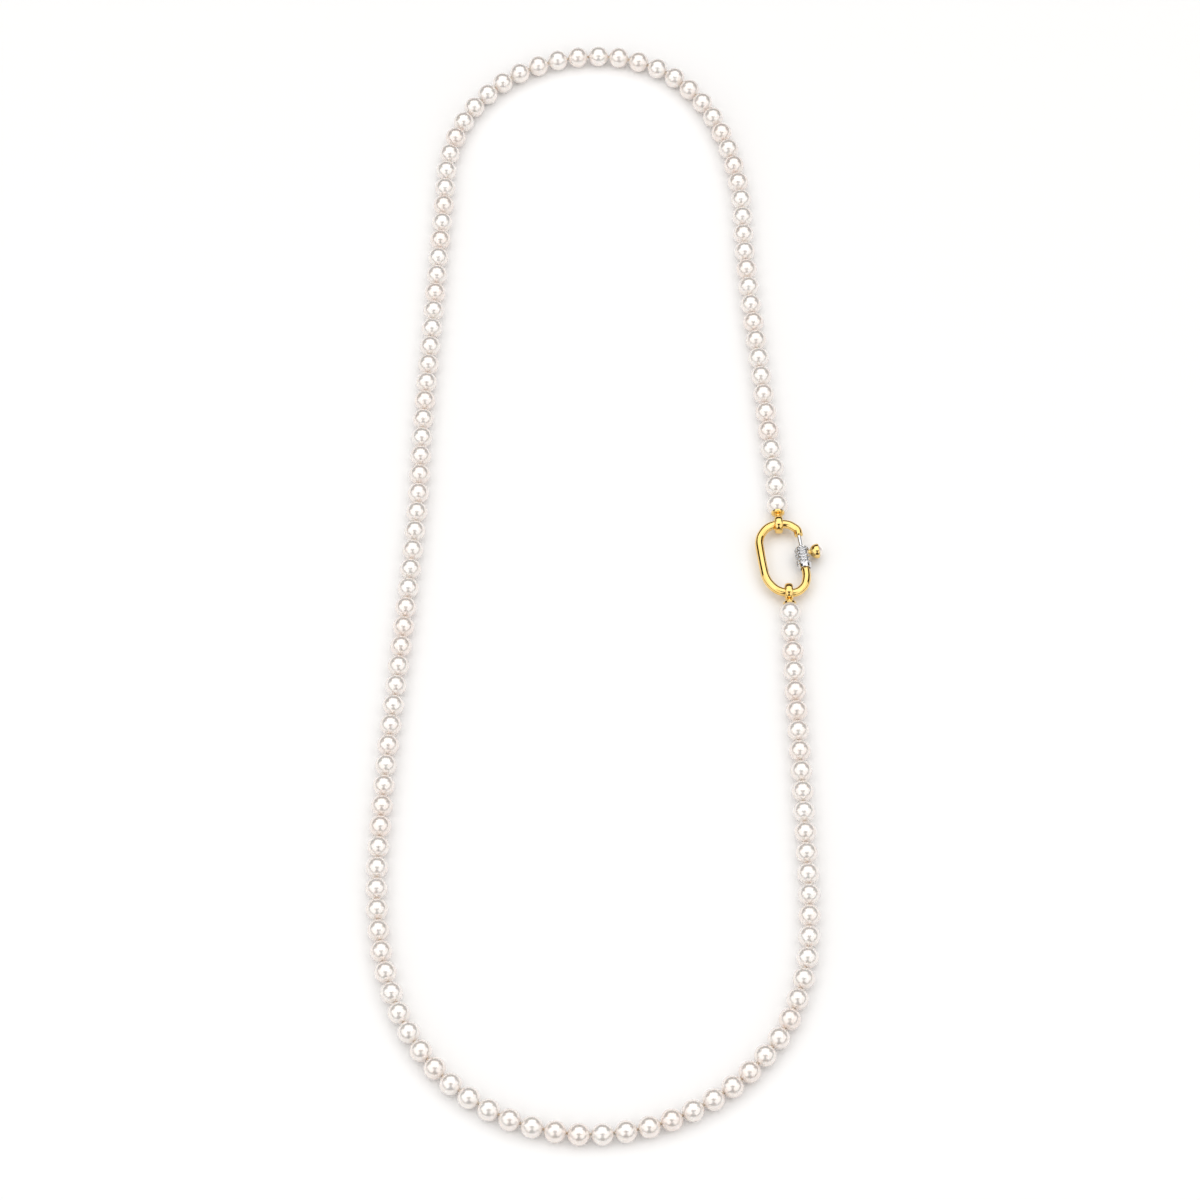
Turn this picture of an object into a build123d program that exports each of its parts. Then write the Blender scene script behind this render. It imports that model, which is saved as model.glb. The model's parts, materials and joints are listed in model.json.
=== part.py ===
"""A long pearl necklace, laid out flat in a loop and closed by a sliding-bolt ring clasp.

The strand is knotted pearls on silk. Each end has a dome cap and a bail, and both bails hang on a gold ring.
A pin that slides in a stone-set sleeve bridges the gap in the ring. Everything lies in one plane, at the
height of the pearls' centres, and is moved at the end so that the origin is below the middle of its box.
"""

import math
import os

from build123d import *

# ---- the strand, in millimetres ----
PEARL_D = 6.25
PEARL_BORE_D = 0.8
MIN_KNOT_GAP = 0.2  # least room for a knot between two pearls
KNOT_D = 0.78
KNOT_CLEAR = 0.03  # between a knot and each pearl beside it
SILK_D = 0.4
FOLD_SILK_GAP = 0.5  # from a fold's knot to where the next length of silk starts

# ---- the end fittings ----
CAP_D = 3.9
CAP_WALL = 0.45
CAP_CLEAR = 0.05  # between a cap and the pearl in it
CAP_HOLE_D = 0.7
BAIL_CLEAR = 0.35  # between the ring's wire and a bail, all round
BAIL_THICK = 1.15  # a bail's band, outwards
BAIL_WIDTH = 2.3  # a bail's band, along the ring's wire
NECK_D = 1.5
NECK_BORE_D = 0.6

# ---- the ring and its gate ----
RING_WIRE_D = 2.5
GATE_FOOT = (60.16, 10.46)  # the sleeve's lower end, on the gate's axis
GATE_TURN = 98.7  # the gate axis's direction, in degrees from +X
GATE_SPAN = 11.5  # from the sleeve's lower end to the ring's upper end
LEG_BELOW = 2.4  # straight wire below the sleeve, along which it slides
BOLT_TRAVEL = 2.4

# ---- the bolt ----
ROD_D = 1.24
SOCKET_DEPTH = 0.8
SOCKET_CLEAR = 0.04
ROD_IN_LEG = 1.5  # how far the rod's tail reaches into the leg
ROD_FLAT = 0.4  # the flat on the tail, from the rod's axis
SPRING_WIRE_D = 0.15
SPRING_BORE_D = 1.6
SPRING_TURNS = 4

# ---- the sleeve and its stones ----
SLEEVE_LEN = 7.2
SLEEVE_D = 4.0
SLEEVE_RIM_D = 3.7
SLEEVE_RIM_LEN = 1.15
SLEEVE_CLEAR = 0.06
RELIEF_LEN = 1.5  # the wider mouth at the sleeve's lower end, for the ring's bend
RELIEF_CLEAR = 0.2
SLEEVE_TOP_WALL = 1.0
SLEEVE_BEVEL = 0.45  # at the sleeve's upper end
STONE_D = 0.96
STONE_ROWS = 5
STONES_ROUND = 12
STONE_PROUD = 0.16  # a stone's table above the sleeve

# ---- the thumb stud ----
STUD_UP = 5.4  # from the sleeve's lower end to the stud's axis
CUP_D = 4.4
CUP_DEPTH = 2.75  # from the back of the cup to its rim
CUP_NECK_D = 1.5
CUP_GAP = 0.2  # between the sleeve and the back of the cup
STUD_PEARL_D = 3.2
STUD_PEG_D = 0.6
STUD_PEARL_PROUD = 1.05

# The silk's route round the loop, from the ring's upper wire to its lower wire.
ROUTE = [
    (52.6, 25.45),
    (52.1, 39.0),
    (49.9, 61.0),
    (47.9, 83.0),
    (45.6, 104.0),
    (44.1, 124.0),
    (43.6, 144.0),
    (40.0, 161.5),
    (33.8, 176.5),
    (22.5, 189.8),
    (6.0, 196.6),
    (-12.5, 195.6),
    (-28.8, 188.2),
    (-40.8, 175.6),
    (-47.4, 158.5),
    (-48.1, 138.5),
    (-49.6, 117.5),
    (-50.7, 96.5),
    (-52.1, 75.5),
    (-53.2, 54.5),
    (-53.7, 33.5),
    (-55.3, 12.5),
    (-57.0, -8.5),
    (-58.9, -29.5),
    (-60.85, -50.5),
    (-62.1, -71.5),
    (-63.0, -92.5),
    (-60.9, -114.5),
    (-54.4, -134.5),
    (-42.6, -151.0),
    (-25.2, -162.8),
    (-4.0, -167.3),
    (17.6, -163.8),
    (36.8, -153.0),
    (51.2, -136.5),
    (57.8, -117.0),
    (58.8, -96.5),
    (58.0, -75.5),
    (57.3, -54.5),
    (56.3, -33.5),
    (55.7, -13.0),
    (55.1, 2.6),
]
# The ring's outline beyond its straight leg: corners that large arcs round off.
RING_CORNERS = [
    (60.0, 4.9),
    (57.5, 2.3),
    (51.9, 2.75),
    (48.5, 6.8),
    (47.4, 13.6),
    (46.5, 20.6),
    (49.5, 25.15),
    (55.3, 25.75),
]
# Where the strand folds: for each fold, about how far along Y its two knots are.
FOLDS_UP = [26.0, 67.0, 118.0]
FOLDS_DOWN = [2.0, -45.0, -96.0]

PEARL_R = PEARL_D / 2
PLANE_Z = PEARL_R
WIRE_R = RING_WIRE_D / 2
BAIL_INNER_R = WIRE_R + BAIL_CLEAR
BAIL_OUTER_R = BAIL_INNER_R + BAIL_THICK
CAP_TOP = PEARL_R + CAP_CLEAR + CAP_WALL  # from the end pearl's centre to its cap's top
NECK_LEN = 0.35
END_PEARL = BAIL_OUTER_R + NECK_LEN + CAP_TOP  # from the ring's wire to the end pearl's centre


class Path:
    """Straight runs joined by tangent arcs, each as large as the two runs beside it allow."""

    SHARE = 0.45  # of the shorter run, used up on each side of a corner

    def __init__(self, points):
        self.pieces = []  # (start length, length, point, direction, signed curvature)
        here, done = Vector(*points[0]), 0.0
        self.radii = []
        for before, corner, after in zip(points, points[1:], points[2:]):
            corner = Vector(*corner)
            run_in, run_out = corner - Vector(*before), Vector(*after) - corner
            turn = math.atan2(run_in.cross(run_out).Z, run_in.dot(run_out))
            cut = self.SHARE * min(run_in.length, run_out.length)
            radius = cut / math.tan(abs(turn) / 2)
            self.radii.append(radius)
            entry = corner - run_in.normalized() * cut
            done = self._add(done, (entry - here).length, here, run_in.normalized(), 0.0)
            bend = math.copysign(1 / radius, turn)
            done = self._add(done, radius * abs(turn), entry, run_in.normalized(), bend)
            here = corner + run_out.normalized() * cut
        last = Vector(*points[-1]) - here
        self.length = self._add(done, last.length, here, last.normalized(), 0.0)

    def _add(self, done, length, point, direction, bend):
        self.pieces.append((done, length, point, direction, bend))
        return done + length

    def at(self, s):
        """The point and the direction at a length along the path, in the plane."""
        for start, length, point, direction, bend in self.pieces:
            if s <= start + length or (start, length) == self.pieces[-1][:2]:
                break
        t = s - start
        if not bend:
            return point + direction * t, direction
        side = direction.rotate(Axis.Z, 90)
        along, across = math.sin(bend * t) / bend, (1 - math.cos(bend * t)) / bend
        return point + direction * along + side * across, direction.rotate(Axis.Z, math.degrees(bend * t))

    def edges(self, first, last):
        """The path's own lines and arcs from one length to another, at the pearls' height."""
        made = []
        for start, length, _, _, bend in self.pieces:
            a, b = max(first, start), min(last, start + length)
            if b - a < 1e-4:
                continue
            ends = [self.at(s)[0] + Vector(0, 0, PLANE_Z) for s in (a, (a + b) / 2, b)]
            made.append(ThreePointArc(*ends).edge() if bend else Line(ends[0], ends[2]).edge())
        return Wire(made)


def seat(point, direction):
    """A location at a point of the plane, with its Z along a direction and its Y upwards."""
    along = Vector(direction.X, direction.Y, 0)
    x_dir = Vector(0, 0, 1).cross(along)
    return Location(Plane(origin=(point.X, point.Y, PLANE_Z), x_dir=x_dir, z_dir=along))


def spun(*corners):
    """A solid of revolution about Z from an outline of (radius, height) corners."""
    outline = Polyline(*[(r, 0, h) for r, h in corners], close=True)
    return revolve(make_face(outline), Axis.Z)


def tube(path, first, last, diameter):
    """A round rod along part of a path."""
    wire = path.edges(first, last)
    start, direction = path.at(first)
    section = seat(start, direction) * Circle(diameter / 2)
    return sweep(section, path=wire)


# ---------------------------------------------------------------- the strand
silk_path = Path(ROUTE)
pearl_count = int((silk_path.length - 2 * END_PEARL) / (PEARL_D + MIN_KNOT_GAP)) + 1
PITCH = (silk_path.length - 2 * END_PEARL) / (pearl_count - 1)
pearl_places = [END_PEARL + PITCH * i for i in range(pearl_count)]


def bored_pearl(diameter, bore, depth=None):
    """A ball with a drilled hole along Z: right through, or blind from below if it has a depth."""
    ball = Sphere(diameter / 2)
    if depth is None:
        return ball - Cylinder(bore / 2, 2 * diameter)
    drill = Pos(0, 0, -diameter / 2) * Cylinder(bore / 2, 2 * depth)
    return ball - drill


def knot():
    """One overhand knot of the silk, pressed flat between two pearls."""
    thick = PITCH - PEARL_D - 2 * KNOT_CLEAR
    disc = Cylinder(KNOT_D / 2, thick)
    return fillet(disc.edges().filter_by(GeomType.CIRCLE), thick * 0.4)


def fold_knot(low, high, y):
    """The number of the pearl before the knot that is nearest to y, among pearls low to high."""
    return min(range(low, high), key=lambda i: abs(silk_path.at(pearl_places[i] + PITCH / 2)[0].Y - y))


top_pearl = max(range(pearl_count), key=lambda i: silk_path.at(pearl_places[i])[0].Y)
bottom_pearl = min(range(pearl_count), key=lambda i: silk_path.at(pearl_places[i])[0].Y)
last_pearl = pearl_count - 1

# A fold's knots are numbered by the pearl before them. The innermost folds turn on the ring's own wire,
# where a bail hangs, and on one knot of the far side.
up_right = [fold_knot(0, top_pearl, y) for y in FOLDS_UP[1:]]
up_left = [fold_knot(top_pearl, bottom_pearl, y) for y in FOLDS_UP]
down_left = [fold_knot(top_pearl, bottom_pearl, y) for y in FOLDS_DOWN]
down_right = [fold_knot(bottom_pearl, last_pearl, y) for y in FOLDS_DOWN[1:]]

# Each stretch of the strand between two folds: its name, and the knots at which it starts and ends.
# -1 and last_pearl stand for the two ends of the silk. The third value says which of its end knots it owns.
STRETCHES = [
    ("upper_right_1", -1, up_right[0], (True, True)),
    ("upper_right_2", up_right[0], up_right[1], (False, True)),
    ("top_arc", up_right[1], up_left[2], (False, False)),
    ("upper_left_2", up_left[2], up_left[1], (True, False)),
    ("upper_left_1", up_left[1], up_left[0], (True, False)),
    ("side_left", up_left[0], down_left[0], (True, True)),
    ("lower_left_1", down_left[0], down_left[1], (False, True)),
    ("lower_left_2", down_left[1], down_left[2], (False, True)),
    ("bottom_arc", down_left[2], down_right[1], (False, False)),
    ("lower_right_2", down_right[1], down_right[0], (True, False)),
    ("lower_right_1", down_right[0], last_pearl, (True, True)),
]


def pearls_of(first_knot, last_knot):
    """The pearls between two knots, as separate balls, each drilled along the silk."""
    one = bored_pearl(PEARL_D, PEARL_BORE_D)
    return [seat(*silk_path.at(pearl_places[i])) * one for i in range(first_knot + 1, last_knot + 1)]


def silk_of(first_knot, last_knot, owns):
    """The silk of one stretch, with the knots between its pearls and those of its folds that it owns."""
    half_knot = (PITCH - PEARL_D) / 2 - KNOT_CLEAR
    start, end = NECK_START, silk_path.length - NECK_START
    if first_knot >= 0:
        middle = pearl_places[first_knot] + PITCH / 2
        start = middle if owns[0] else middle + FOLD_SILK_GAP
    if last_knot < last_pearl:
        middle = pearl_places[last_knot] + PITCH / 2
        end = middle if owns[1] else middle - FOLD_SILK_GAP
    silk = tube(silk_path, start, end, SILK_D)
    knots = list(range(first_knot + 1, last_knot))
    if owns[0] and first_knot >= 0:
        knots.append(first_knot)
    if owns[1] and last_knot < last_pearl:
        knots.append(last_knot)
    one = knot()
    lumps = [seat(*silk_path.at(pearl_places[i] + PITCH / 2)) * one for i in knots]
    return [silk.fuse(*lumps)] if lumps else [silk]


# ---------------------------------------------------------------- caps and bails
NECK_START = BAIL_OUTER_R + 0.1  # where the silk's end is glued in a bail's neck


def end_cap():
    """A dome over the end pearl, with its pearl's centre at the origin and its top towards -Z."""
    outer = Sphere(PEARL_R + CAP_CLEAR + CAP_WALL)
    inner = Sphere(PEARL_R + CAP_CLEAR)
    depth = math.sqrt((PEARL_R + CAP_CLEAR) ** 2 - (CAP_D / 2) ** 2)
    keep = Pos(0, 0, -depth - 5) * Cylinder(CAP_D / 2, 10)
    cap = (outer & keep) - inner - Cylinder(CAP_HOLE_D / 2, 20)
    rims = [e for e in cap.edges().filter_by(GeomType.CIRCLE) if abs(e.radius - CAP_D / 2) < 0.01]
    return fillet(min(rims, key=lambda e: e.center().Z), CAP_WALL * 0.6)


def bail():
    """A ring round the origin, about X, with a neck towards +Z that ends on its cap. Its silk hole is blind."""
    middle_r = (BAIL_INNER_R + BAIL_OUTER_R) / 2
    section = Pos(0, middle_r, 0) * Ellipse(BAIL_WIDTH / 2, BAIL_THICK / 2)
    hoop = revolve(section, Axis.X)
    cap_ball = Pos(0, 0, END_PEARL) * Sphere(CAP_TOP)
    neck = Pos(0, 0, END_PEARL - PEARL_R - BAIL_THICK) * Cylinder(NECK_D / 2, 2 * BAIL_THICK)
    root = Pos(0, 0, middle_r) * Cylinder(NECK_D / 2, BAIL_THICK, align=(Align.CENTER, Align.CENTER, Align.MIN))
    hole = Pos(0, 0, NECK_START - 0.05) * Cylinder(
        NECK_BORE_D / 2, 5, align=(Align.CENTER, Align.CENTER, Align.MIN)
    )
    return hoop + ((neck & Pos(0, 0, BAIL_INNER_R + 5.3) * Box(9, 9, 10)) + root - cap_ball) - hole


# ---------------------------------------------------------------- the ring and its gate
gate_dir = Vector(math.cos(math.radians(GATE_TURN)), math.sin(math.radians(GATE_TURN)))
gate_side = gate_dir.rotate(Axis.Z, -90)  # outwards, away from the ring's inside


def on_gate(up, out=0.0):
    """The point that lies this far up the gate's axis from the sleeve's lower end, and this far outwards."""
    return Vector(*GATE_FOOT) + gate_dir * up + gate_side * out


LEG_TOP = STUD_UP - STUD_PEG_D / 2 - BOLT_TRAVEL - 0.1  # the leg's end stays clear of the stud's peg
ROD_TAIL = LEG_TOP - ROD_IN_LEG
ROD_TIP = GATE_SPAN + SOCKET_DEPTH - 0.05
SPRING_FOOT = 0.2 - LEG_BELOW


def gate_rod(bottom, top, diameter):
    """A round rod on the gate's axis."""
    return seat(on_gate(bottom), gate_dir) * Cylinder(
        diameter / 2, top - bottom, align=(Align.CENTER, Align.CENTER, Align.MIN)
    )


def clasp_frame():
    """The open ring of round wire: a leg bored for the spring and the rod's tail, and a socket for its tip."""
    last = on_gate(GATE_SPAN + 1.9)
    corners = [on_gate(LEG_TOP), on_gate(-LEG_BELOW), *[Vector(*c) for c in RING_CORNERS]]
    points = [*corners, last, on_gate(GATE_SPAN)]
    ring_path = Path([(p.X, p.Y) for p in points])
    ring = tube(ring_path, 0, ring_path.length, RING_WIRE_D)
    spring_bore = gate_rod(SPRING_FOOT, ROD_TAIL + 0.05, SPRING_BORE_D)
    guide = gate_rod(ROD_TAIL, LEG_TOP + 1, ROD_D + 2 * SOCKET_CLEAR) & flat_cut(SOCKET_CLEAR)
    socket = gate_rod(GATE_SPAN - 1, GATE_SPAN + SOCKET_DEPTH, ROD_D + 2 * SOCKET_CLEAR)
    return ring - spring_bore - guide - socket


def flat_cut(clear):
    """Everything on the round side of the tail's flat, which faces into the ring."""
    block = Box(10, 10, 60, align=(Align.CENTER, Align.MIN, Align.CENTER))
    place = Plane(origin=(*tuple(on_gate(0))[:2], PLANE_Z), x_dir=(0, 0, 1), z_dir=gate_dir)
    # the plane's own Y points away from the stud, so the block is turned to keep the stud's side
    return Location(place) * Rot(0, 0, 180) * Pos(0, -(ROD_FLAT + clear), 0) * block


def bolt_rod():
    """The pin: a round rod with a rounded tip, and a flat on its tail that stops it turning."""
    rod = gate_rod(ROD_TAIL, ROD_TIP, ROD_D)
    tip = rod.edges().filter_by(GeomType.CIRCLE).sort_by(Axis((0, 0, 0), gate_dir))[-1]
    rod = fillet(tip, ROD_D * 0.3)
    tail = gate_rod(ROD_TAIL - 1, LEG_TOP + BOLT_TRAVEL, ROD_D * 2)
    return rod - (tail - flat_cut(0))


def return_spring():
    """A compression spring under the rod's tail, in the leg's bore."""
    height = ROD_TAIL - SPRING_FOOT - SPRING_WIRE_D
    coil_r = SPRING_BORE_D / 2 - SPRING_WIRE_D / 2 - 0.08
    turn = Helix(pitch=height / SPRING_TURNS, height=height, radius=coil_r)
    section = Plane(origin=turn @ 0, z_dir=turn % 0) * Circle(SPRING_WIRE_D / 2)
    spring = sweep(section, path=turn, is_frenet=True)
    return seat(on_gate(SPRING_FOOT + SPRING_WIRE_D / 2), gate_dir) * spring


# ---------------------------------------------------------------- the sleeve
STONE_TOP = 0.16 * STONE_D  # a brilliant's crown
STONE_DEPTH = 0.43 * STONE_D  # its pavilion
PAVE_FOOT = SLEEVE_RIM_LEN + 0.2
PAVE_LEN = SLEEVE_LEN - PAVE_FOOT - SLEEVE_BEVEL - 0.1


def stone_place(row, number):
    """Where a stone sits: its girdle's centre, with Z outwards. Rows are offset by half a stone."""
    up = PAVE_FOOT + PAVE_LEN * (row + 0.5) / STONE_ROWS
    turn = 360 * (number + 0.5 * (row % 2)) / STONES_ROUND
    out = SLEEVE_D / 2 + STONE_PROUD - STONE_TOP
    return seat(on_gate(up), gate_dir) * Rot(0, 0, turn) * Pos(out, 0, 0) * Rot(0, 90, 0)


def is_under_stud(row, number):
    """True for the stones whose place the stud's neck takes."""
    place = stone_place(row, number).position - Vector(0, 0, PLANE_Z)
    neck = on_gate(STUD_UP, SLEEVE_D / 2)
    return (place - neck).length < (CUP_NECK_D + STONE_D) / 2 + 0.1


def stone():
    """A round brilliant with its girdle at the origin and its table towards +Z."""
    girdle, table = STONE_D / 2, 0.56 * STONE_D / 2
    return spun((0, -STONE_DEPTH), (girdle, -0.02), (girdle, 0.02), (table, STONE_TOP), (0, STONE_TOP))


def stones_of(row):
    return [stone_place(row, n) * stone() for n in range(STONES_ROUND) if not is_under_stud(row, n)]


def bolt_sleeve():
    """The barrel: bored to slide on the leg, with a polished lower rim and a seat for each stone."""
    r, rim, end = SLEEVE_D / 2, SLEEVE_RIM_D / 2, SLEEVE_LEN
    body = seat(on_gate(0), gate_dir) * spun(
        (0, 0), (rim - 0.15, 0), (rim, 0.15), (rim, SLEEVE_RIM_LEN), (r, SLEEVE_RIM_LEN + 0.2),
        (r, end - SLEEVE_BEVEL), (r - SLEEVE_BEVEL, end), (0, end),
    )
    body -= gate_rod(-1, SLEEVE_LEN - SLEEVE_TOP_WALL, RING_WIRE_D + 2 * SLEEVE_CLEAR)
    body -= gate_rod(-1, RELIEF_LEN, RING_WIRE_D + 2 * RELIEF_CLEAR)
    body -= gate_rod(0, SLEEVE_LEN + 1, ROD_D)
    body -= stud_rod(0, SLEEVE_D, STUD_PEG_D)
    grow = 0.02
    girdle, deep = STONE_D / 2 + grow, STONE_DEPTH + grow
    hole = spun((0, -deep), (girdle, -0.02), (girdle, 1), (0, 1))
    for row in range(STONE_ROWS):
        for n in range(STONES_ROUND):
            if not is_under_stud(row, n):
                body -= stone_place(row, n) * hole
    return body


# ---------------------------------------------------------------- the thumb stud
CUP_FLOOR = SLEEVE_D / 2 + CUP_GAP  # from the gate's axis to the back of the cup
CUP_RIM = CUP_FLOOR + CUP_DEPTH
STUD_PEARL_AT = CUP_RIM + STUD_PEARL_PROUD - STUD_PEARL_D / 2


def stud_rod(start, end, diameter):
    """A round rod on the stud's axis, at these distances out from the gate's axis."""
    return seat(on_gate(STUD_UP, start), gate_side) * Cylinder(
        diameter / 2, end - start, align=(Align.CENTER, Align.CENTER, Align.MIN)
    )


def thumb_cup():
    """A half ball on a short neck, hollowed for its pearl and drilled for the peg."""
    centre = CUP_FLOOR + CUP_D / 2
    ball = seat(on_gate(STUD_UP, centre), gate_side) * Sphere(CUP_D / 2)
    ball &= stud_rod(CUP_FLOOR - 1, CUP_RIM, CUP_D + 1)
    rim = ball.edges().filter_by(GeomType.CIRCLE).sort_by(Axis((0, 0, 0), gate_side))[-1]
    ball = fillet(rim, 0.35)
    hollow = seat(on_gate(STUD_UP, STUD_PEARL_AT), gate_side) * Sphere(STUD_PEARL_D / 2 + 0.03)
    neck = stud_rod(SLEEVE_D / 2 - 0.3, CUP_FLOOR + 0.4, CUP_NECK_D)
    neck -= gate_rod(-1, SLEEVE_LEN + 1, SLEEVE_D)
    return ball + neck - hollow - stud_rod(0, CUP_RIM, STUD_PEG_D)


def thumb_peg():
    """The peg: from the rod, through the sleeve and the cup, into the pearl. It ties all four together."""
    return stud_rod(0, STUD_PEARL_AT + 0.6, STUD_PEG_D) - gate_rod(-1, SLEEVE_LEN + 2, ROD_D)


def thumb_pearl():
    """The stud's pearl, drilled half way for the peg."""
    ball = seat(on_gate(STUD_UP, STUD_PEARL_AT), gate_side) * Sphere(STUD_PEARL_D / 2)
    return ball - stud_rod(0, STUD_PEARL_AT + 0.62, STUD_PEG_D)


# ---------------------------------------------------------------- all together
def build():
    """Every node as a list of solids, before the origin is moved."""
    nodes = {}
    for name, first, last, owns in STRETCHES:
        nodes["pearls_" + name] = pearls_of(first, last)
        nodes["silk_" + name] = silk_of(first, last, owns)
    ends = {
        "upper": seat(*silk_path.at(0)),
        "lower": seat(silk_path.at(silk_path.length)[0], -silk_path.at(silk_path.length)[1]),
    }
    for name, place in ends.items():
        nodes[name + "_bail"] = [place * bail()]
        nodes[name + "_end_cap"] = [place * Pos(0, 0, END_PEARL) * end_cap()]
    nodes["clasp_frame"] = [clasp_frame()]
    nodes["bolt_rod"] = [bolt_rod()]
    nodes["return_spring"] = [return_spring()]
    nodes["bolt_sleeve"] = [bolt_sleeve()]
    for row in range(STONE_ROWS):
        nodes[f"sleeve_stones_{row + 1}"] = stones_of(row)
    nodes["thumb_cup"] = [thumb_cup()]
    nodes["thumb_peg"] = [thumb_peg()]
    nodes["thumb_pearl"] = [thumb_pearl()]
    return {name: [s for shape in shapes for s in shape.solids()] for name, shapes in nodes.items()}


def bounds(solids):
    """The lowest and highest corner of some solids."""
    boxes = [s.bounding_box() for s in solids]
    low = Vector(*[min(tuple(b.min)[k] for b in boxes) for k in range(3)])
    high = Vector(*[max(tuple(b.max)[k] for b in boxes) for k in range(3)])
    return low, high


nodes = build()
low, high = bounds([s for solids in nodes.values() for s in solids])
shift = Vector(-(low.X + high.X) / 2, -(low.Y + high.Y) / 2, -low.Z)

os.makedirs("parts", exist_ok=True)
for name, solids in nodes.items():
    placed = [Pos(*shift) * s for s in solids]
    export_step(Compound(children=placed) if len(placed) > 1 else placed[0], f"parts/{name}.step")


def row_point(p, z=PLANE_Z):
    """A point of the layout in the part's own frame."""
    return [round(v, 3) for v in (p.X + shift.X, p.Y + shift.Y, z + shift.Z)]


def knot_point(i):
    return silk_path.at(pearl_places[i] + PITCH / 2)[0]


print("pearls", pearl_count, "pitch", round(PITCH, 4), "silk", round(silk_path.length, 1))
print("smallest radius of the silk's route", round(min(silk_path.radii), 1))
print("size", [round(v, 2) for v in tuple(high - low)], "shift", [round(v, 3) for v in tuple(shift)])
upper_wire, lower_wire = silk_path.at(0)[0], silk_path.at(silk_path.length)[0]
folds = {
    "fold_up_1": (knot_point(up_left[0]), upper_wire),
    "fold_up_2": (knot_point(up_left[1]), knot_point(up_right[0])),
    "fold_up_3": (knot_point(up_left[2]), knot_point(up_right[1])),
    "fold_down_1": (knot_point(down_left[0]), lower_wire),
    "fold_down_2": (knot_point(down_left[1]), knot_point(down_right[0])),
    "fold_down_3": (knot_point(down_left[2]), knot_point(down_right[1])),
}
for name, (left, right) in folds.items():
    print("joint", name, row_point(left), row_point(right))
print("joint bolt_slide", row_point(on_gate(0)), [round(-v, 5) for v in tuple(gate_dir)])
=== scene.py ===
import json
import math

import bmesh
import bpy
import numpy as np
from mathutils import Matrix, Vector


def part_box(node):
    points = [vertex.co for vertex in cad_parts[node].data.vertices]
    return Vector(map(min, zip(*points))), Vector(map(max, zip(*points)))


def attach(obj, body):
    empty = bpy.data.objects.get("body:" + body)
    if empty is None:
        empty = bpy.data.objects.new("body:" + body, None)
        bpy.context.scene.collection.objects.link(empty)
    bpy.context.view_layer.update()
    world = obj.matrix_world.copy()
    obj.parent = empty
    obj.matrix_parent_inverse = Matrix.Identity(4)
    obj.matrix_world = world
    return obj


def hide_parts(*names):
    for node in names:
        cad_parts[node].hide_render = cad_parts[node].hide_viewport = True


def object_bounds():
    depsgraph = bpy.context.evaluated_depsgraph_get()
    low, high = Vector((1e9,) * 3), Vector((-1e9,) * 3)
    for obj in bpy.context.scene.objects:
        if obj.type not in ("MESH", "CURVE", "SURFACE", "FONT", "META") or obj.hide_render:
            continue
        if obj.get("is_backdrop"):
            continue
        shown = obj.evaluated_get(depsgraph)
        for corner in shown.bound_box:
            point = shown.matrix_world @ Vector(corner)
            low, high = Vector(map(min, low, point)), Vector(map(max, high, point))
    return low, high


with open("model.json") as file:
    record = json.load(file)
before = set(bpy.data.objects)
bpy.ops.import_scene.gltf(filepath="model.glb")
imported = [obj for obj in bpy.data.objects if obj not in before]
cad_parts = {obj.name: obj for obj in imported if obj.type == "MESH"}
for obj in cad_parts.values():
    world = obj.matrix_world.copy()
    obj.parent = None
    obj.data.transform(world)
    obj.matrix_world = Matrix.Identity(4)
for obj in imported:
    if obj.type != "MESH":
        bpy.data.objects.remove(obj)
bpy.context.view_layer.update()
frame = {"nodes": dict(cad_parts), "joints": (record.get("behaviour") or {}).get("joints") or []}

# ---------------------------------------------------------------- pearls
# Round saltwater pearls, bleached white and matched in size, each drilled through for the silk.
# They lie side by side on the silk in eleven stretches, which part where the strand folds.
PEARL_RADIUS = 0.003125
DRILLED_RADIUS = 0.0004
PEARL_STEPS = (40, 22)  # round the silk, and along it
PEARL_OUT_OF_ROUND = 0.006  # of the radius
DRILLING_INSET = 0.92  # the drilling's wall, of its rim's radius, which leaves the rim a crisp edge
TOP_HEIGHT = 1.9  # of the radius: what lies higher is the top of a pearl
PATCH_REACH = 1.07  # of the radius: tops nearer than this to each other are one pearl's
SKIN_DEPTH = 0.07  # of the radius: how far off the radius a pearl's own point may lie
STRETCHES = [
    ("upper_right_1", "upper_strands_1"),
    ("upper_right_2", "upper_strands_2"),
    ("top_arc", "top_bight"),
    ("upper_left_2", "upper_strands_2"),
    ("upper_left_1", "upper_strands_1"),
    ("side_left", "clasp"),
    ("lower_left_1", "lower_strands_1"),
    ("lower_left_2", "lower_strands_2"),
    ("bottom_arc", "bottom_bight"),
    ("lower_right_2", "lower_strands_2"),
    ("lower_right_1", "lower_strands_1"),
]
random = np.random.default_rng(7)


def linear(hex_colour):
    """An sRGB hex colour as linear red, green, blue and alpha."""
    parts = np.array([int(hex_colour[i : i + 2], 16) / 255 for i in (1, 3, 5)])
    low, high = parts / 12.92, ((parts + 0.055) / 1.055) ** 2.4
    return (*np.where(parts <= 0.04045, low, high), 1.0)


def node_in(tree, kind, settings=None, links=None):
    """A shader node in a tree: settings are its properties and unlinked inputs, links are the outputs
    that feed its inputs. A name that isn't a property is an input, and stops are a colour ramp's places,
    from 0 to 1, each with its sRGB hex colour."""
    made = tree.nodes.new(kind)
    for name, value in (settings or {}).items():
        if name == "stops":
            ends = made.color_ramp.elements
            while len(ends) < len(value):
                ends.new(0.5)
            for end, (place, colour) in zip(ends, value):
                end.position, end.color = place, linear(colour)
        elif isinstance(name, str) and hasattr(made, name):
            setattr(made, name, value)
        else:
            made.inputs[name].default_value = value
    for name, source in (links or {}).items():
        tree.links.new(source, made.inputs[name])
    return made


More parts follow.
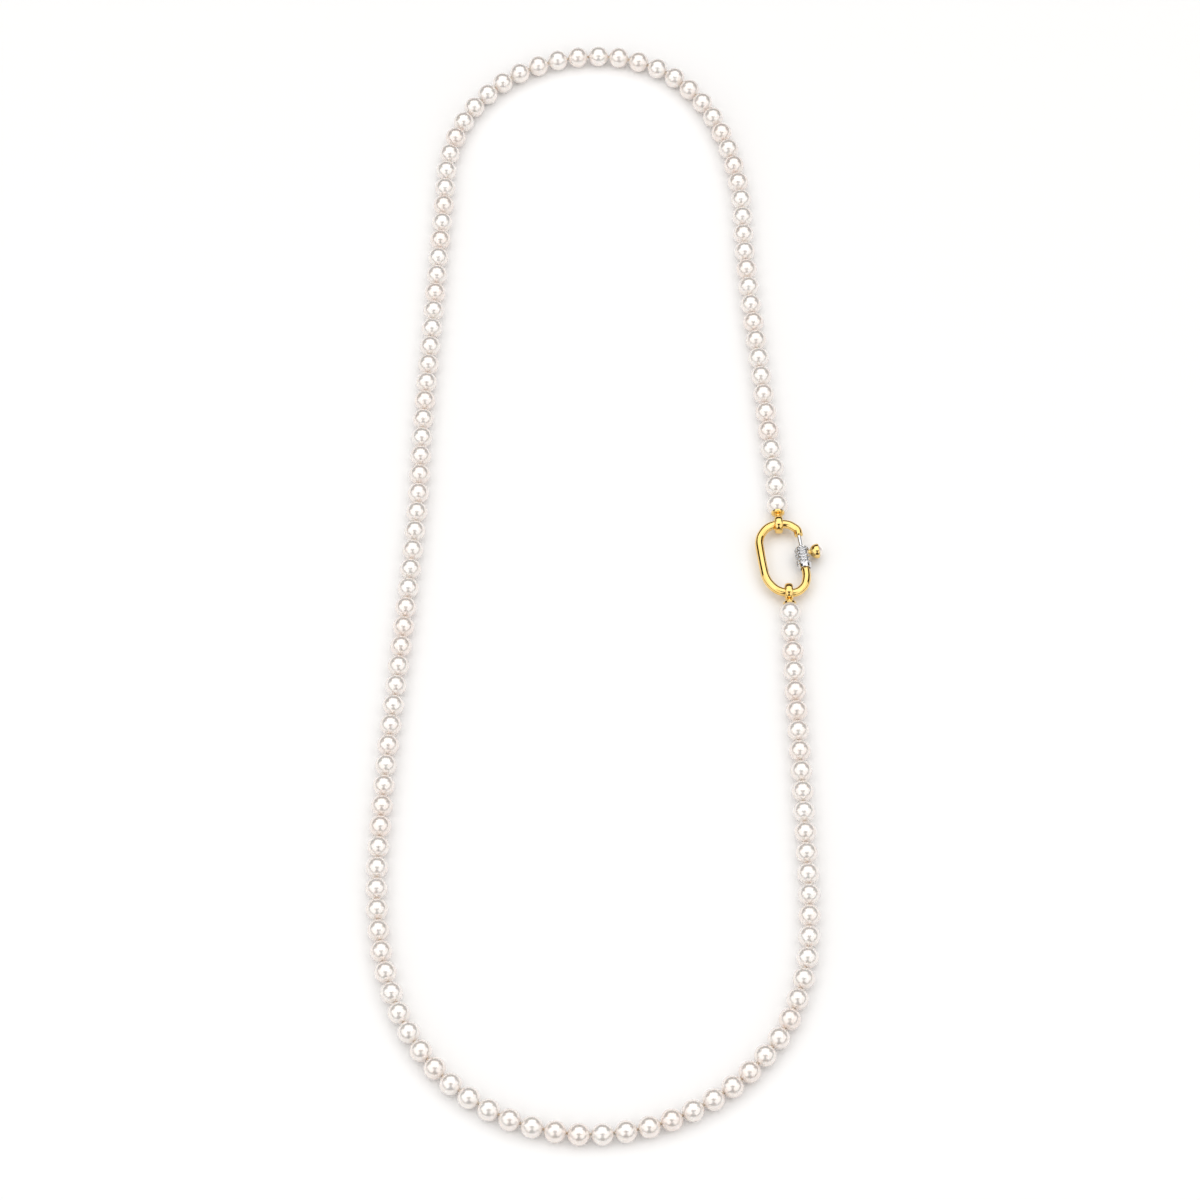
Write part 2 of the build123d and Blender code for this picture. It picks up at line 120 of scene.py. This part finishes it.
def new_material(name, **surface):
    """A material with one Principled shader, whose own sockets take what is the same all over."""
    material = bpy.data.materials.new(name)
    material.use_nodes = True
    shader = material.node_tree.nodes["Principled BSDF"]
    for socket, value in surface.items():
        shader.inputs[socket.replace("_", " ")].default_value = value
    return material, material.node_tree, shader


def scale_for(size_mm):
    """The scale of a pattern on Object coordinates, which are metres, whose marks are this many
    millimetres across."""
    return 1000 / size_mm


def node_points(node):
    """The vertices of a CAD node, in the row frame."""
    mesh = frame["nodes"][node].data
    points = np.empty(len(mesh.vertices) * 3)
    mesh.vertices.foreach_get("co", points)
    return points.reshape(-1, 3)


def ball_centres(node):
    """The centres of a node's pearls, which lie side by side on the table. The points near their tops form
    one patch a pearl. From its middle, the points about a radius away are that pearl's own, and the centre
    is the one at equal distance from them all, by least squares."""
    points = node_points(node)
    tops = points[points[:, 2] > TOP_HEIGHT * PEARL_RADIUS]
    centres = []
    while len(tops):
        near = np.linalg.norm((tops - tops[0])[:, :2], axis=1) < PATCH_REACH * PEARL_RADIUS
        guess = np.append(tops[near, :2].mean(0), PEARL_RADIUS)
        tops = tops[~near]
        away = np.linalg.norm(points - guess, axis=1)
        own = points[abs(away - PEARL_RADIUS) < SKIN_DEPTH * PEARL_RADIUS]
        equal = np.c_[2 * own, np.ones(len(own))]
        centres.append(np.linalg.lstsq(equal, (own**2).sum(1), rcond=None)[0][:3])
    return np.array(centres)


def in_turn(centres, start):
    """Pearls in their order on the silk: from a start, each time the nearest that is left."""
    left, order = list(range(len(centres))), []
    while left:
        nearest = min(left, key=lambda i: np.linalg.norm(centres[i] - start))
        left.remove(nearest)
        order.append(nearest)
        start = centres[nearest]
    return centres[order]


def axes_along(direction):
    """Three unit vectors, the last along a direction, as the columns of a matrix."""
    along = direction / np.linalg.norm(direction)
    side = np.cross((0.0, 0.0, 1.0), along)
    side = side / np.linalg.norm(side)
    return np.array([side, np.cross(along, side), along]).T


def grid_faces(rows, columns, round_rows, round_columns, first):
    """The four corners of each face of a grid of points, whose rows or columns may close on themselves."""
    row = np.arange(rows if round_rows else rows - 1)[:, None]
    column = np.arange(columns if round_columns else columns - 1)[None, :]
    next_row, next_column = (row + 1) % rows, (column + 1) % columns
    corners = [row * columns + column, row * columns + next_column]
    corners += [next_row * columns + next_column, next_row * columns + column]
    return np.stack(np.broadcast_arrays(*corners), -1).reshape(-1, 4) + first


def skin(name, grids, material, round_rows=False, smooth=True, shade=None):
    """One piece from grids of points, each closed along its columns. Points that coincide, as at a pole, are
    merged, and the faces are turned outwards. shade is one number a grid, kept as an attribute."""
    mesh = bpy.data.meshes.new(name)
    points = np.concatenate([g.reshape(-1, 3) for g in grids])
    starts = np.cumsum([0] + [g.shape[0] * g.shape[1] for g in grids[:-1]])
    faces = np.concatenate(
        [grid_faces(g.shape[0], g.shape[1], round_rows, True, s) for g, s in zip(grids, starts)]
    )
    mesh.from_pydata(points.tolist(), [], faces.tolist())
    if shade is not None:
        each = np.concatenate([np.full(g.shape[0] * g.shape[1], s) for g, s in zip(grids, shade)])
        pearl_shade = mesh.attributes.new("pearl_shade", "FLOAT", "POINT")
        pearl_shade.data.foreach_set("value", each.astype(np.float32))
    work = bmesh.new()
    work.from_mesh(mesh)
    bmesh.ops.remove_doubles(work, verts=work.verts, dist=1e-7)
    bmesh.ops.recalc_face_normals(work, faces=work.faces)
    work.to_mesh(mesh)
    work.free()
    mesh.polygons.foreach_set("use_smooth", np.full(len(mesh.polygons), smooth))
    mesh.materials.append(material)
    piece = bpy.data.objects.new(name, mesh)
    bpy.context.scene.collection.objects.link(piece)
    return piece


def drilled_pearl(centre, along):
    """A pearl: an arc of the pearl's radius from the drilling's rim at one end to its rim at the other,
    turned round the silk and closed by the drilling's wall. The radius swells and shrinks by two slow waves
    round the pearl, because no pearl is quite round."""
    turns, steps = PEARL_STEPS
    rim = math.asin(DRILLED_RADIUS / PEARL_RADIUS)
    polar = np.linspace(rim, math.pi - rim, steps)[:, None]
    around = np.linspace(0, 2 * math.pi, turns, endpoint=False)[None, :]
    phase, lean = random.uniform(0, 2 * math.pi, 2)
    wave = np.cos(2 * around + phase) * np.sin(polar) ** 2 + 0.6 * np.cos(2 * polar + lean)
    radius = PEARL_RADIUS * (1 - PEARL_OUT_OF_ROUND * (1 + 0.6 * wave))
    across = radius * np.sin(polar)
    outside = np.stack([across * np.cos(around), across * np.sin(around), radius * np.cos(polar)], -1)
    inside = outside[[-1, 0]].copy()
    inside[..., :2] *= DRILLING_INSET
    return centre + np.concatenate([outside, inside]) @ axes_along(along).T


# Nacre is thin layers of aragonite: a glossy skin over a soft white body, with a faint rose overtone that
# differs a little from pearl to pearl. Its colour is painted a little darker and pinker towards the outline,
# where the surface turns from the
# view: painted rim shade and sheen. Clouds 1.4 mm across dim it here and there, and its skin has waves 0.6 mm
# across.
nacre, tree, shader = new_material(
    "white_rose_nacre", Metallic=0.42, Roughness=0.24, IOR=1.68, Coat_Weight=0.6, Coat_Roughness=0.06,
    Coat_IOR=1.6, Subsurface_Weight=0.1, Subsurface_Scale=0.001,
)
shader.inputs["Subsurface Radius"].default_value = (1.0, 0.75, 0.6)
place = node_in(tree, "ShaderNodeTexCoord").outputs["Object"]
own_shade = node_in(tree, "ShaderNodeAttribute", {"attribute_name": "pearl_shade"}).outputs["Fac"]
body_colour = node_in(
    tree, "ShaderNodeValToRGB", {"stops": [(0.0, "#FBF6F2"), (0.5, "#FCF9F6"), (1.0, "#FBF3EE")]},
    {"Fac": own_shade},
).outputs["Color"]
# painted rim shade and sheen: white where the surface faces the view, a little darker and pinker towards the
# outline
facing = node_in(tree, "ShaderNodeLayerWeight", {"Blend": 0.35}).outputs["Facing"]
painted_rim_shade = node_in(
    tree, "ShaderNodeValToRGB", {"stops": [(0.0, "#FFFFFF"), (0.55, "#FDFBFA"), (1.0, "#F8F0EE")]},
    {"Fac": facing},
).outputs["Color"]
cloud = node_in(
    tree, "ShaderNodeTexNoise", {"Scale": scale_for(1.43), "Detail": 3.0}, {"Vector": place}
).outputs["Fac"]
cloud_colour = node_in(
    tree, "ShaderNodeValToRGB", {"stops": [(0.3, "#FBF7F4"), (0.7, "#FFFFFF")]}, {"Fac": cloud}
).outputs["Color"]
multiply = {"data_type": "RGBA", "blend_type": "MULTIPLY", 0: 1.0}
body_with_rim_shade = node_in(tree, "ShaderNodeMix", multiply, {6: body_colour, 7: painted_rim_shade}).outputs[2]
clouded = node_in(tree, "ShaderNodeMix", multiply, {6: body_with_rim_shade, 7: cloud_colour}).outputs[2]
tree.links.new(clouded, shader.inputs["Base Color"])
skin_waves = node_in(
    tree, "ShaderNodeTexNoise", {"Scale": scale_for(0.625), "Detail": 2.0}, {"Vector": place}
).outputs["Fac"]
bump = node_in(tree, "ShaderNodeBump", {"Strength": 0.03, "Distance": 0.0001}, {"Height": skin_waves})
tree.links.new(bump.outputs["Normal"], shader.inputs["Normal"])

cap_low, cap_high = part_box("upper_end_cap")
last_centre = np.array((cap_low + cap_high) / 2)
strand, strand_stretch = [], []
for stretch, _ in STRETCHES:
    centres = in_turn(ball_centres("pearls_" + stretch), last_centre)
    last_centre = centres[-1]
    strand.append(centres)
    strand_stretch += [stretch] * len(centres)
strand = np.concatenate(strand)
strand_stretch = np.array(strand_stretch)
# each pearl faces along the line between its two neighbours
strand_along = np.gradient(strand, axis=0)
for stretch, body in STRETCHES:
    own = np.flatnonzero(strand_stretch == stretch)
    grids = [drilled_pearl(strand[i], strand_along[i]) for i in own]
    pearls = skin("pearls." + stretch, grids, nacre, round_rows=True, shade=random.uniform(0, 1, len(own)))
    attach(pearls, body)
    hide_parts("pearls_" + stretch)

# ---------------------------------------------------------------- silk and its knots
# Cream silk, doubled and drawn through the pearls with a needle, and tied in an overhand knot after each.
# The knots keep the pearls from rubbing and show as small soft lumps between them.
SILK_RADIUS = 0.0002
KNOT_RADIUS = 0.0004224  # between its lobes
KNOT_HALF = 0.00016  # half of a knot's thickness, along the strand
KNOT_FULLNESS = 0.7  # the power of the sine that rounds it from pole to pole, where 1 would be a ball
LOBE_RISE = 0.14  # of the knot's radius
NECK_REACH = 0.7  # of the way from an end pearl's middle to its bail's
KNOT_STEPS = (12, 7)

# Twisted filament silk: soft sheen, and slanting plies, with painted shade: its cream is painted darker in the
# grooves between the plies, where their bump is low. Real plies are 0.15 mm apart, too fine to show, so they
# are drawn 0.94 mm apart.
# A wave texture's bands lie pi / 10 of a mark's size apart.
silk, tree, shader = new_material(
    "twisted_silk", Roughness=0.62, Sheen_Weight=0.45, Sheen_Roughness=0.4, IOR=1.54,
)
place = node_in(tree, "ShaderNodeTexCoord").outputs["Object"]
turned = node_in(tree, "ShaderNodeMapping", {"Rotation": (0.0, 0.0, 0.7)}, {"Vector": place}).outputs["Vector"]
plies = node_in(
    tree, "ShaderNodeTexWave", {"Scale": scale_for(0.94) * math.pi / 10, "Distortion": 1.5, "Detail": 1.0},
    {"Vector": turned},
).outputs["Fac"]
# painted shade: the silk's cream is painted darker in the grooves between the plies, where the bump is low
ply_colour_with_groove_shade = node_in(
    tree, "ShaderNodeValToRGB", {"stops": [(0.0, "#E4C9A6"), (1.0, "#F6E7D0")]}, {"Fac": plies}
).outputs["Color"]
tree.links.new(ply_colour_with_groove_shade, shader.inputs["Base Color"])
bump = node_in(tree, "ShaderNodeBump", {"Strength": 0.4, "Distance": 0.00005}, {"Height": plies})
tree.links.new(bump.outputs["Normal"], shader.inputs["Normal"])


def tied_knot(centre, along):
    """A pulled overhand knot: a flattened ball, its outline raised in three slanting lobes where the thread
    passes over itself. The first and last rows meet at its poles, on the thread."""
    turns, steps = KNOT_STEPS
    polar = np.linspace(0, math.pi, steps)[:, None]
    around = np.linspace(0, 2 * math.pi, turns, endpoint=False)[None, :]
    lobes = 1 + LOBE_RISE * np.sin(3 * around + 4 * polar)
    radius = KNOT_RADIUS * np.sin(polar) ** KNOT_FULLNESS * lobes
    height = KNOT_HALF * np.cos(polar) + 0 * around
    knot = np.stack([radius * np.cos(around), radius * np.sin(around), height], -1)
    return centre + knot @ axes_along(along).T


def thread_between(points):
    """A round thread through points: a small circle square to the thread's direction at each, and a point
    at each end."""
    along = np.gradient(points, axis=0)
    around = np.linspace(0, 2 * math.pi, 8, endpoint=False)
    ring = np.stack([np.cos(around), np.sin(around), 0 * around], -1) * SILK_RADIUS
    rings = np.array([p + ring @ axes_along(a).T for p, a in zip(points, along)])
    ends = [np.repeat(points[[k]], len(around), 0)[None] for k in (0, -1)]
    return np.concatenate([ends[0], rings, ends[1]])


# A stretch owns the knots inside it; the fold's knot belongs to the stretch nearer to the clasp.
FOLD_OWNERS = {
    ("upper_right_1", "upper_right_2"): 0,
    ("upper_right_2", "top_arc"): 0,
    ("top_arc", "upper_left_2"): 1,
    ("upper_left_2", "upper_left_1"): 1,
    ("upper_left_1", "side_left"): 1,
    ("side_left", "lower_left_1"): 0,
    ("lower_left_1", "lower_left_2"): 0,
    ("lower_left_2", "bottom_arc"): 0,
    ("bottom_arc", "lower_right_2"): 1,
    ("lower_right_2", "lower_right_1"): 1,
}
knot_places = (strand[1:] + strand[:-1]) / 2
knot_along = strand[1:] - strand[:-1]
knot_owner = []
for before, after in zip(strand_stretch[:-1], strand_stretch[1:]):
    knot_owner.append(before if before == after or FOLD_OWNERS[before, after] == 0 else after)
knot_owner = np.array(knot_owner)
# the silk's two ends lie in the necks of the bails
neck_places = {}
for end, bail, pearl in (("first", "upper_bail", strand[0]), ("last", "lower_bail", strand[-1])):
    low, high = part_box(bail)
    neck_places[end] = pearl + (np.array((low + high) / 2) - pearl) * NECK_REACH
for stretch, body in STRETCHES:
    own = np.flatnonzero(strand_stretch == stretch)
    tied = [tied_knot(knot_places[i], knot_along[i]) for i in np.flatnonzero(knot_owner == stretch)]
    start = neck_places["first"] if own[0] == 0 else knot_places[own[0] - 1]
    finish = neck_places["last"] if own[-1] == len(strand) - 1 else knot_places[own[-1]]
    route = [start]
    for i in own[:-1]:
        route += [strand[i], knot_places[i]]
    thread = thread_between(np.array([*route, strand[own[-1]], finish]))
    knots = skin("silk." + stretch, [thread, *tied], silk)
    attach(knots, body)
    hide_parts("silk_" + stretch)

# ---------------------------------------------------------------- gold ring, bails, caps and thumb cup
# Cast in yellow gold, drawn round where they are wire, soldered, and polished on a felt wheel until they
# mirror what stands round them. The caps hug the end pearls and the bails hang on the ring.
# Polishing leaves swirls 0.2 mm across and slow, shallow waves 3.9 mm across, and no clear lines.
gold, tree, shader = new_material("polished_yellow_gold", Metallic=1.0, Roughness=0.09)
place = node_in(tree, "ShaderNodeTexCoord").outputs["Object"]
waves = node_in(
    tree, "ShaderNodeTexNoise", {"Scale": scale_for(3.85), "Detail": 2.0}, {"Vector": place}
).outputs["Fac"]
swirls = node_in(
    tree, "ShaderNodeTexNoise", {"Scale": scale_for(0.192), "Detail": 4.0, "Distortion": 1.2},
    {"Vector": place},
).outputs["Fac"]
gold_colour = node_in(
    tree, "ShaderNodeValToRGB", {"stops": [(0.3, "#F2CB7A"), (0.7, "#F8D78C")]}, {"Fac": waves}
).outputs["Color"]
tree.links.new(gold_colour, shader.inputs["Base Color"])
polish = node_in(
    tree, "ShaderNodeMapRange", {"To Min": 0.06, "To Max": 0.13}, {"Value": swirls}
).outputs["Result"]
tree.links.new(polish, shader.inputs["Roughness"])
bump = node_in(tree, "ShaderNodeBump", {"Strength": 0.05, "Distance": 0.0002}, {"Height": waves})
fine_bump = node_in(
    tree, "ShaderNodeBump", {"Strength": 0.015, "Distance": 0.00002},
    {"Height": swirls, "Normal": bump.outputs["Normal"]},
)
tree.links.new(fine_bump.outputs["Normal"], shader.inputs["Normal"])


def finish_node(node, material):
    """A CAD node whose shape is right gets its real finish."""
    for slot in frame["nodes"][node].material_slots:
        slot.material = material


for end in ("upper", "lower"):
    finish_node(f"{end}_bail", gold)
    finish_node(f"{end}_end_cap", gold)
for node in ("clasp_frame", "thumb_cup", "thumb_peg"):
    finish_node(node, gold)

# ---------------------------------------------------------------- rod and sleeve
# White gold with a rhodium plating, turned on a lathe and polished. The sleeve slides on the ring's leg and
# takes the rod with it; its lower rim is left plain, for the fingernail. The lathe leaves marks 0.33 mm
# across under the plating.
rhodium, tree, shader = new_material("rhodium_plated_white_gold", Metallic=1.0, Roughness=0.1)
place = node_in(tree, "ShaderNodeTexCoord").outputs["Object"]
lathe = node_in(
    tree, "ShaderNodeTexNoise", {"Scale": scale_for(0.333), "Detail": 3.0}, {"Vector": place}
).outputs["Fac"]
plating_colour = node_in(
    tree, "ShaderNodeValToRGB", {"stops": [(0.3, "#DDDEE1"), (0.7, "#E9E9EB")]}, {"Fac": lathe}
).outputs["Color"]
tree.links.new(plating_colour, shader.inputs["Base Color"])
polish = node_in(
    tree, "ShaderNodeMapRange", {"To Min": 0.07, "To Max": 0.14}, {"Value": lathe}
).outputs["Result"]
tree.links.new(polish, shader.inputs["Roughness"])
for node in ("bolt_rod", "bolt_sleeve"):
    finish_node(node, rhodium)

# The return spring is bright drawn steel wire, with die marks 0.25 mm long, and lies in the ring's leg,
# out of sight.
steel, tree, shader = new_material("drawn_spring_steel", Metallic=1.0, Roughness=0.24)
place = node_in(tree, "ShaderNodeTexCoord").outputs["Object"]
drawn = node_in(tree, "ShaderNodeTexNoise", {"Scale": scale_for(0.25)}, {"Vector": place}).outputs["Fac"]
steel_colour = node_in(
    tree, "ShaderNodeValToRGB", {"stops": [(0.3, "#8F9194"), (0.7, "#A9ABAE")]}, {"Fac": drawn}
).outputs["Color"]
tree.links.new(steel_colour, shader.inputs["Base Color"])
finish_node("return_spring", steel)

# ---------------------------------------------------------------- stones
# Round brilliants of cubic zirconia, one millimetre across, set in five staggered rows over the sleeve.
# Each sits in a drilled seat and is held by small grains raised from the metal between the stones.
SLEEVE_RADIUS = 0.002
STONE_ROWS = 5
STONES_ROUND = 12
STONE_RADIUS = 0.00048
STONE_SIDES = 8
STONE_CROWN = 0.16 * 2 * STONE_RADIUS
STONE_PAVILION = 0.43 * 2 * STONE_RADIUS
STONE_PROUD = 0.00016  # a stone's table above the sleeve
STONE_OUT = SLEEVE_RADIUS + STONE_PROUD - STONE_CROWN  # from the sleeve's axis to a stone's girdle
GRAIN_RADIUS = 0.00011
GRAIN_PROUD = 0.00006  # a grain's middle above the sleeve
GRAIN_RISE = 0.24  # of the distance between two rows, from a row's line to a grain

# Cubic zirconia is clear, with a high index, so that its facets are either bright or dark. It differs a
# little in tint over half a millimetre.
zirconia, tree, shader = new_material(
    "clear_zirconia", Roughness=0.01, IOR=2.15, Transmission_Weight=1.0,
)
place = node_in(tree, "ShaderNodeTexCoord").outputs["Object"]
tints = node_in(
    tree, "ShaderNodeTexNoise", {"Scale": scale_for(0.526), "Detail": 1.0}, {"Vector": place}
).outputs["Fac"]
stone_colour = node_in(
    tree, "ShaderNodeValToRGB", {"stops": [(0.35, "#F1F3F6"), (0.6, "#FFFFFF")]}, {"Fac": tints}
).outputs["Color"]
tree.links.new(stone_colour, shader.inputs["Base Color"])

# the sleeve's own frame: its middle comes from the rod, which shares its axis, and up is against the slide
slide = next(joint for joint in frame["joints"] if joint["name"] == "bolt_slide")
gate_axes = axes_along(-np.array(slide["axis"], float))
rod = node_points("bolt_rod")
rod_middle = np.append(((rod.max(0) + rod.min(0)) / 2)[:2], PEARL_RADIUS)


def stone_middles(row):
    """The middles of a row's stones, each as a turn round the sleeve's axis and a height along it. Stones
    stand a twelfth of a turn apart, and a point belongs to the stone whose turn is nearest."""
    local = (node_points(f"sleeve_stones_{row}") - rod_middle) @ gate_axes
    turn = np.arctan2(local[:, 1], local[:, 0])
    step = 2 * math.pi / STONES_ROUND
    offset = np.angle(np.exp(1j * turn * STONES_ROUND).mean()) / STONES_ROUND
    number = np.round((turn - offset) / step).astype(int) % STONES_ROUND
    up = (local[:, 2].max() + local[:, 2].min()) / 2
    return [(offset + n * step, up) for n in np.unique(number)]


def brilliant(turn, up, spin):
    """A brilliant cut: rings of eight corners at the table, the girdle's two edges and a point below. The
    girdle's corners stand between the table's, which makes the crown's facets kites and triangles."""
    around = np.linspace(0, 2 * math.pi, STONE_SIDES, endpoint=False) + spin
    half = math.pi / STONE_SIDES
    rings = [
        (0.0, STONE_CROWN, 0.0),
        (0.56 * STONE_RADIUS, STONE_CROWN, 0.0),
        (0.82 * STONE_RADIUS, 0.58 * STONE_CROWN, half),
        (STONE_RADIUS, 0.02 * STONE_RADIUS, 0.0),
        (STONE_RADIUS, -0.02 * STONE_RADIUS, 0.0),
        (0.45 * STONE_RADIUS, -0.52 * STONE_PAVILION, half),
        (0.0, -STONE_PAVILION, 0.0),
    ]
    local = np.array(
        [[[r * math.cos(a + h), r * math.sin(a + h), z] for a in around] for r, z, h in rings]
    )
    out = np.array([math.cos(turn), math.sin(turn), 0.0])
    side = np.array([-math.sin(turn), math.cos(turn), 0.0])
    base = np.array([side, np.array([0.0, 0.0, 1.0]), out])
    placed = local @ base + out * STONE_OUT + np.array([0.0, 0.0, up])
    return rod_middle + placed @ gate_axes.T


rows_of_stones = {}
for row in range(1, STONE_ROWS + 1):
    rows_of_stones[row] = stone_middles(row)
    cut = [brilliant(turn, up, random.uniform(0, 1)) for turn, up in rows_of_stones[row]]
    stones = skin(f"stones.row_{row}", cut, zirconia, smooth=False)
    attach(stones, "bolt")
    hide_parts(f"sleeve_stones_{row}")


def grain(turn, up):
    """A raised grain: a small ball half sunk in the sleeve."""
    polar = np.linspace(0, math.pi, 5)[:, None]
    around = np.linspace(0, 2 * math.pi, 7, endpoint=False)[None, :]
    ball = GRAIN_RADIUS * np.stack(
        [np.sin(polar) * np.cos(around), np.sin(polar) * np.sin(around), np.cos(polar) + 0 * around], -1
    )
    out = SLEEVE_RADIUS + GRAIN_PROUD
    middle = np.array([out * math.cos(turn), out * math.sin(turn), up])
    return rod_middle + (ball + middle) @ gate_axes.T


# the grains stand above and below the gap between two neighbours of a row, where three stones meet
grains = []
row_step = (rows_of_stones[STONE_ROWS][0][1] - rows_of_stones[1][0][1]) / (STONE_ROWS - 1)
for placed in rows_of_stones.values():
    first_turn, up = placed[0]
    for n in range(STONES_ROUND):
        turn = first_turn + (n + 0.5) * 2 * math.pi / STONES_ROUND
        grains += [grain(turn, up + row_step * GRAIN_RISE), grain(turn, up - row_step * GRAIN_RISE)]
set_grains = skin("stones.set_grains", grains, rhodium)
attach(set_grains, "bolt")

# ---------------------------------------------------------------- thumb pearl
# A small half-drilled pearl, glued on the peg in the thumb cup.
finish_node("thumb_pearl", nacre)

# ---------------------------------------------------------------- table, lights and camera
# A white sweep of card, with fibres 1.1 mm long, lit from above by large soft boxes with gaps between them.
TABLE_HALF = 3.0
card, tree, shader = new_material("white_card", Roughness=0.9)
shader.inputs["Base Color"].default_value = linear("#FFFFFF")
place = node_in(tree, "ShaderNodeTexCoord").outputs["Object"]
fibres = node_in(tree, "ShaderNodeTexNoise", {"Scale": scale_for(1.11)}, {"Vector": place}).outputs["Fac"]
bump = node_in(tree, "ShaderNodeBump", {"Strength": 0.02, "Distance": 0.0001}, {"Height": fibres})
tree.links.new(bump.outputs["Normal"], shader.inputs["Normal"])
mesh = bpy.data.meshes.new("table")
corners = [(x * TABLE_HALF, y * TABLE_HALF, 0) for x, y in ((-1, -1), (1, -1), (1, 1), (-1, 1))]
mesh.from_pydata(corners, [], [(0, 1, 2, 3)])
mesh.materials.append(card)
table = bpy.data.objects.new("table", mesh)
bpy.context.scene.collection.objects.link(table)
table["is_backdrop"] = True


def soft_box(name, at, width, height, power):
    """A rectangular lamp that faces the middle of the table."""
    lamp = bpy.data.lights.new(name, "AREA")
    lamp.shape = "RECTANGLE"
    lamp.size, lamp.size_y = width, height
    lamp.energy = power
    holder = bpy.data.objects.new(name, lamp)
    holder.location = at
    holder.rotation_euler = (-Vector(at)).to_track_quat("-Z", "Y").to_euler()
    bpy.context.scene.collection.objects.link(holder)


soft_box("box_above", (0.0, 0.48, 1.53), 2.6, 2.3, 27.0)
soft_box("box_left", (-1.06, -0.61, 0.86), 2.3, 1.3, 11.5)
soft_box("box_right", (1.06, -0.61, 0.86), 2.3, 1.3, 10.5)
world = bpy.data.worlds.new("studio")
world.use_nodes = True
world.node_tree.nodes["Background"].inputs["Color"].default_value = linear("#C8B8A8")
world.node_tree.nodes["Background"].inputs["Strength"].default_value = 0.12
bpy.context.scene.world = world
bpy.context.scene.view_settings.view_transform = "Standard"

CAMERA_AWAY = 1.19
CAMERA_RISE = math.radians(60.74)  # above the table
CAMERA_LENS = 122.5  # millimetres, on a sensor 36 wide
target = Vector((0.000263, -0.014947, PEARL_RADIUS))
lens = bpy.data.cameras.new("camera")
lens.lens, lens.sensor_width = CAMERA_LENS, 36.0
lens.clip_start = 0.01
camera = bpy.data.objects.new("camera", lens)
camera.location = target + CAMERA_AWAY * Vector((0.0, -math.cos(CAMERA_RISE), math.sin(CAMERA_RISE)))
camera.rotation_euler = (target - camera.location).to_track_quat("-Z", "Y").to_euler()
bpy.context.scene.collection.objects.link(camera)
bpy.context.scene.camera = camera

low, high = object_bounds()
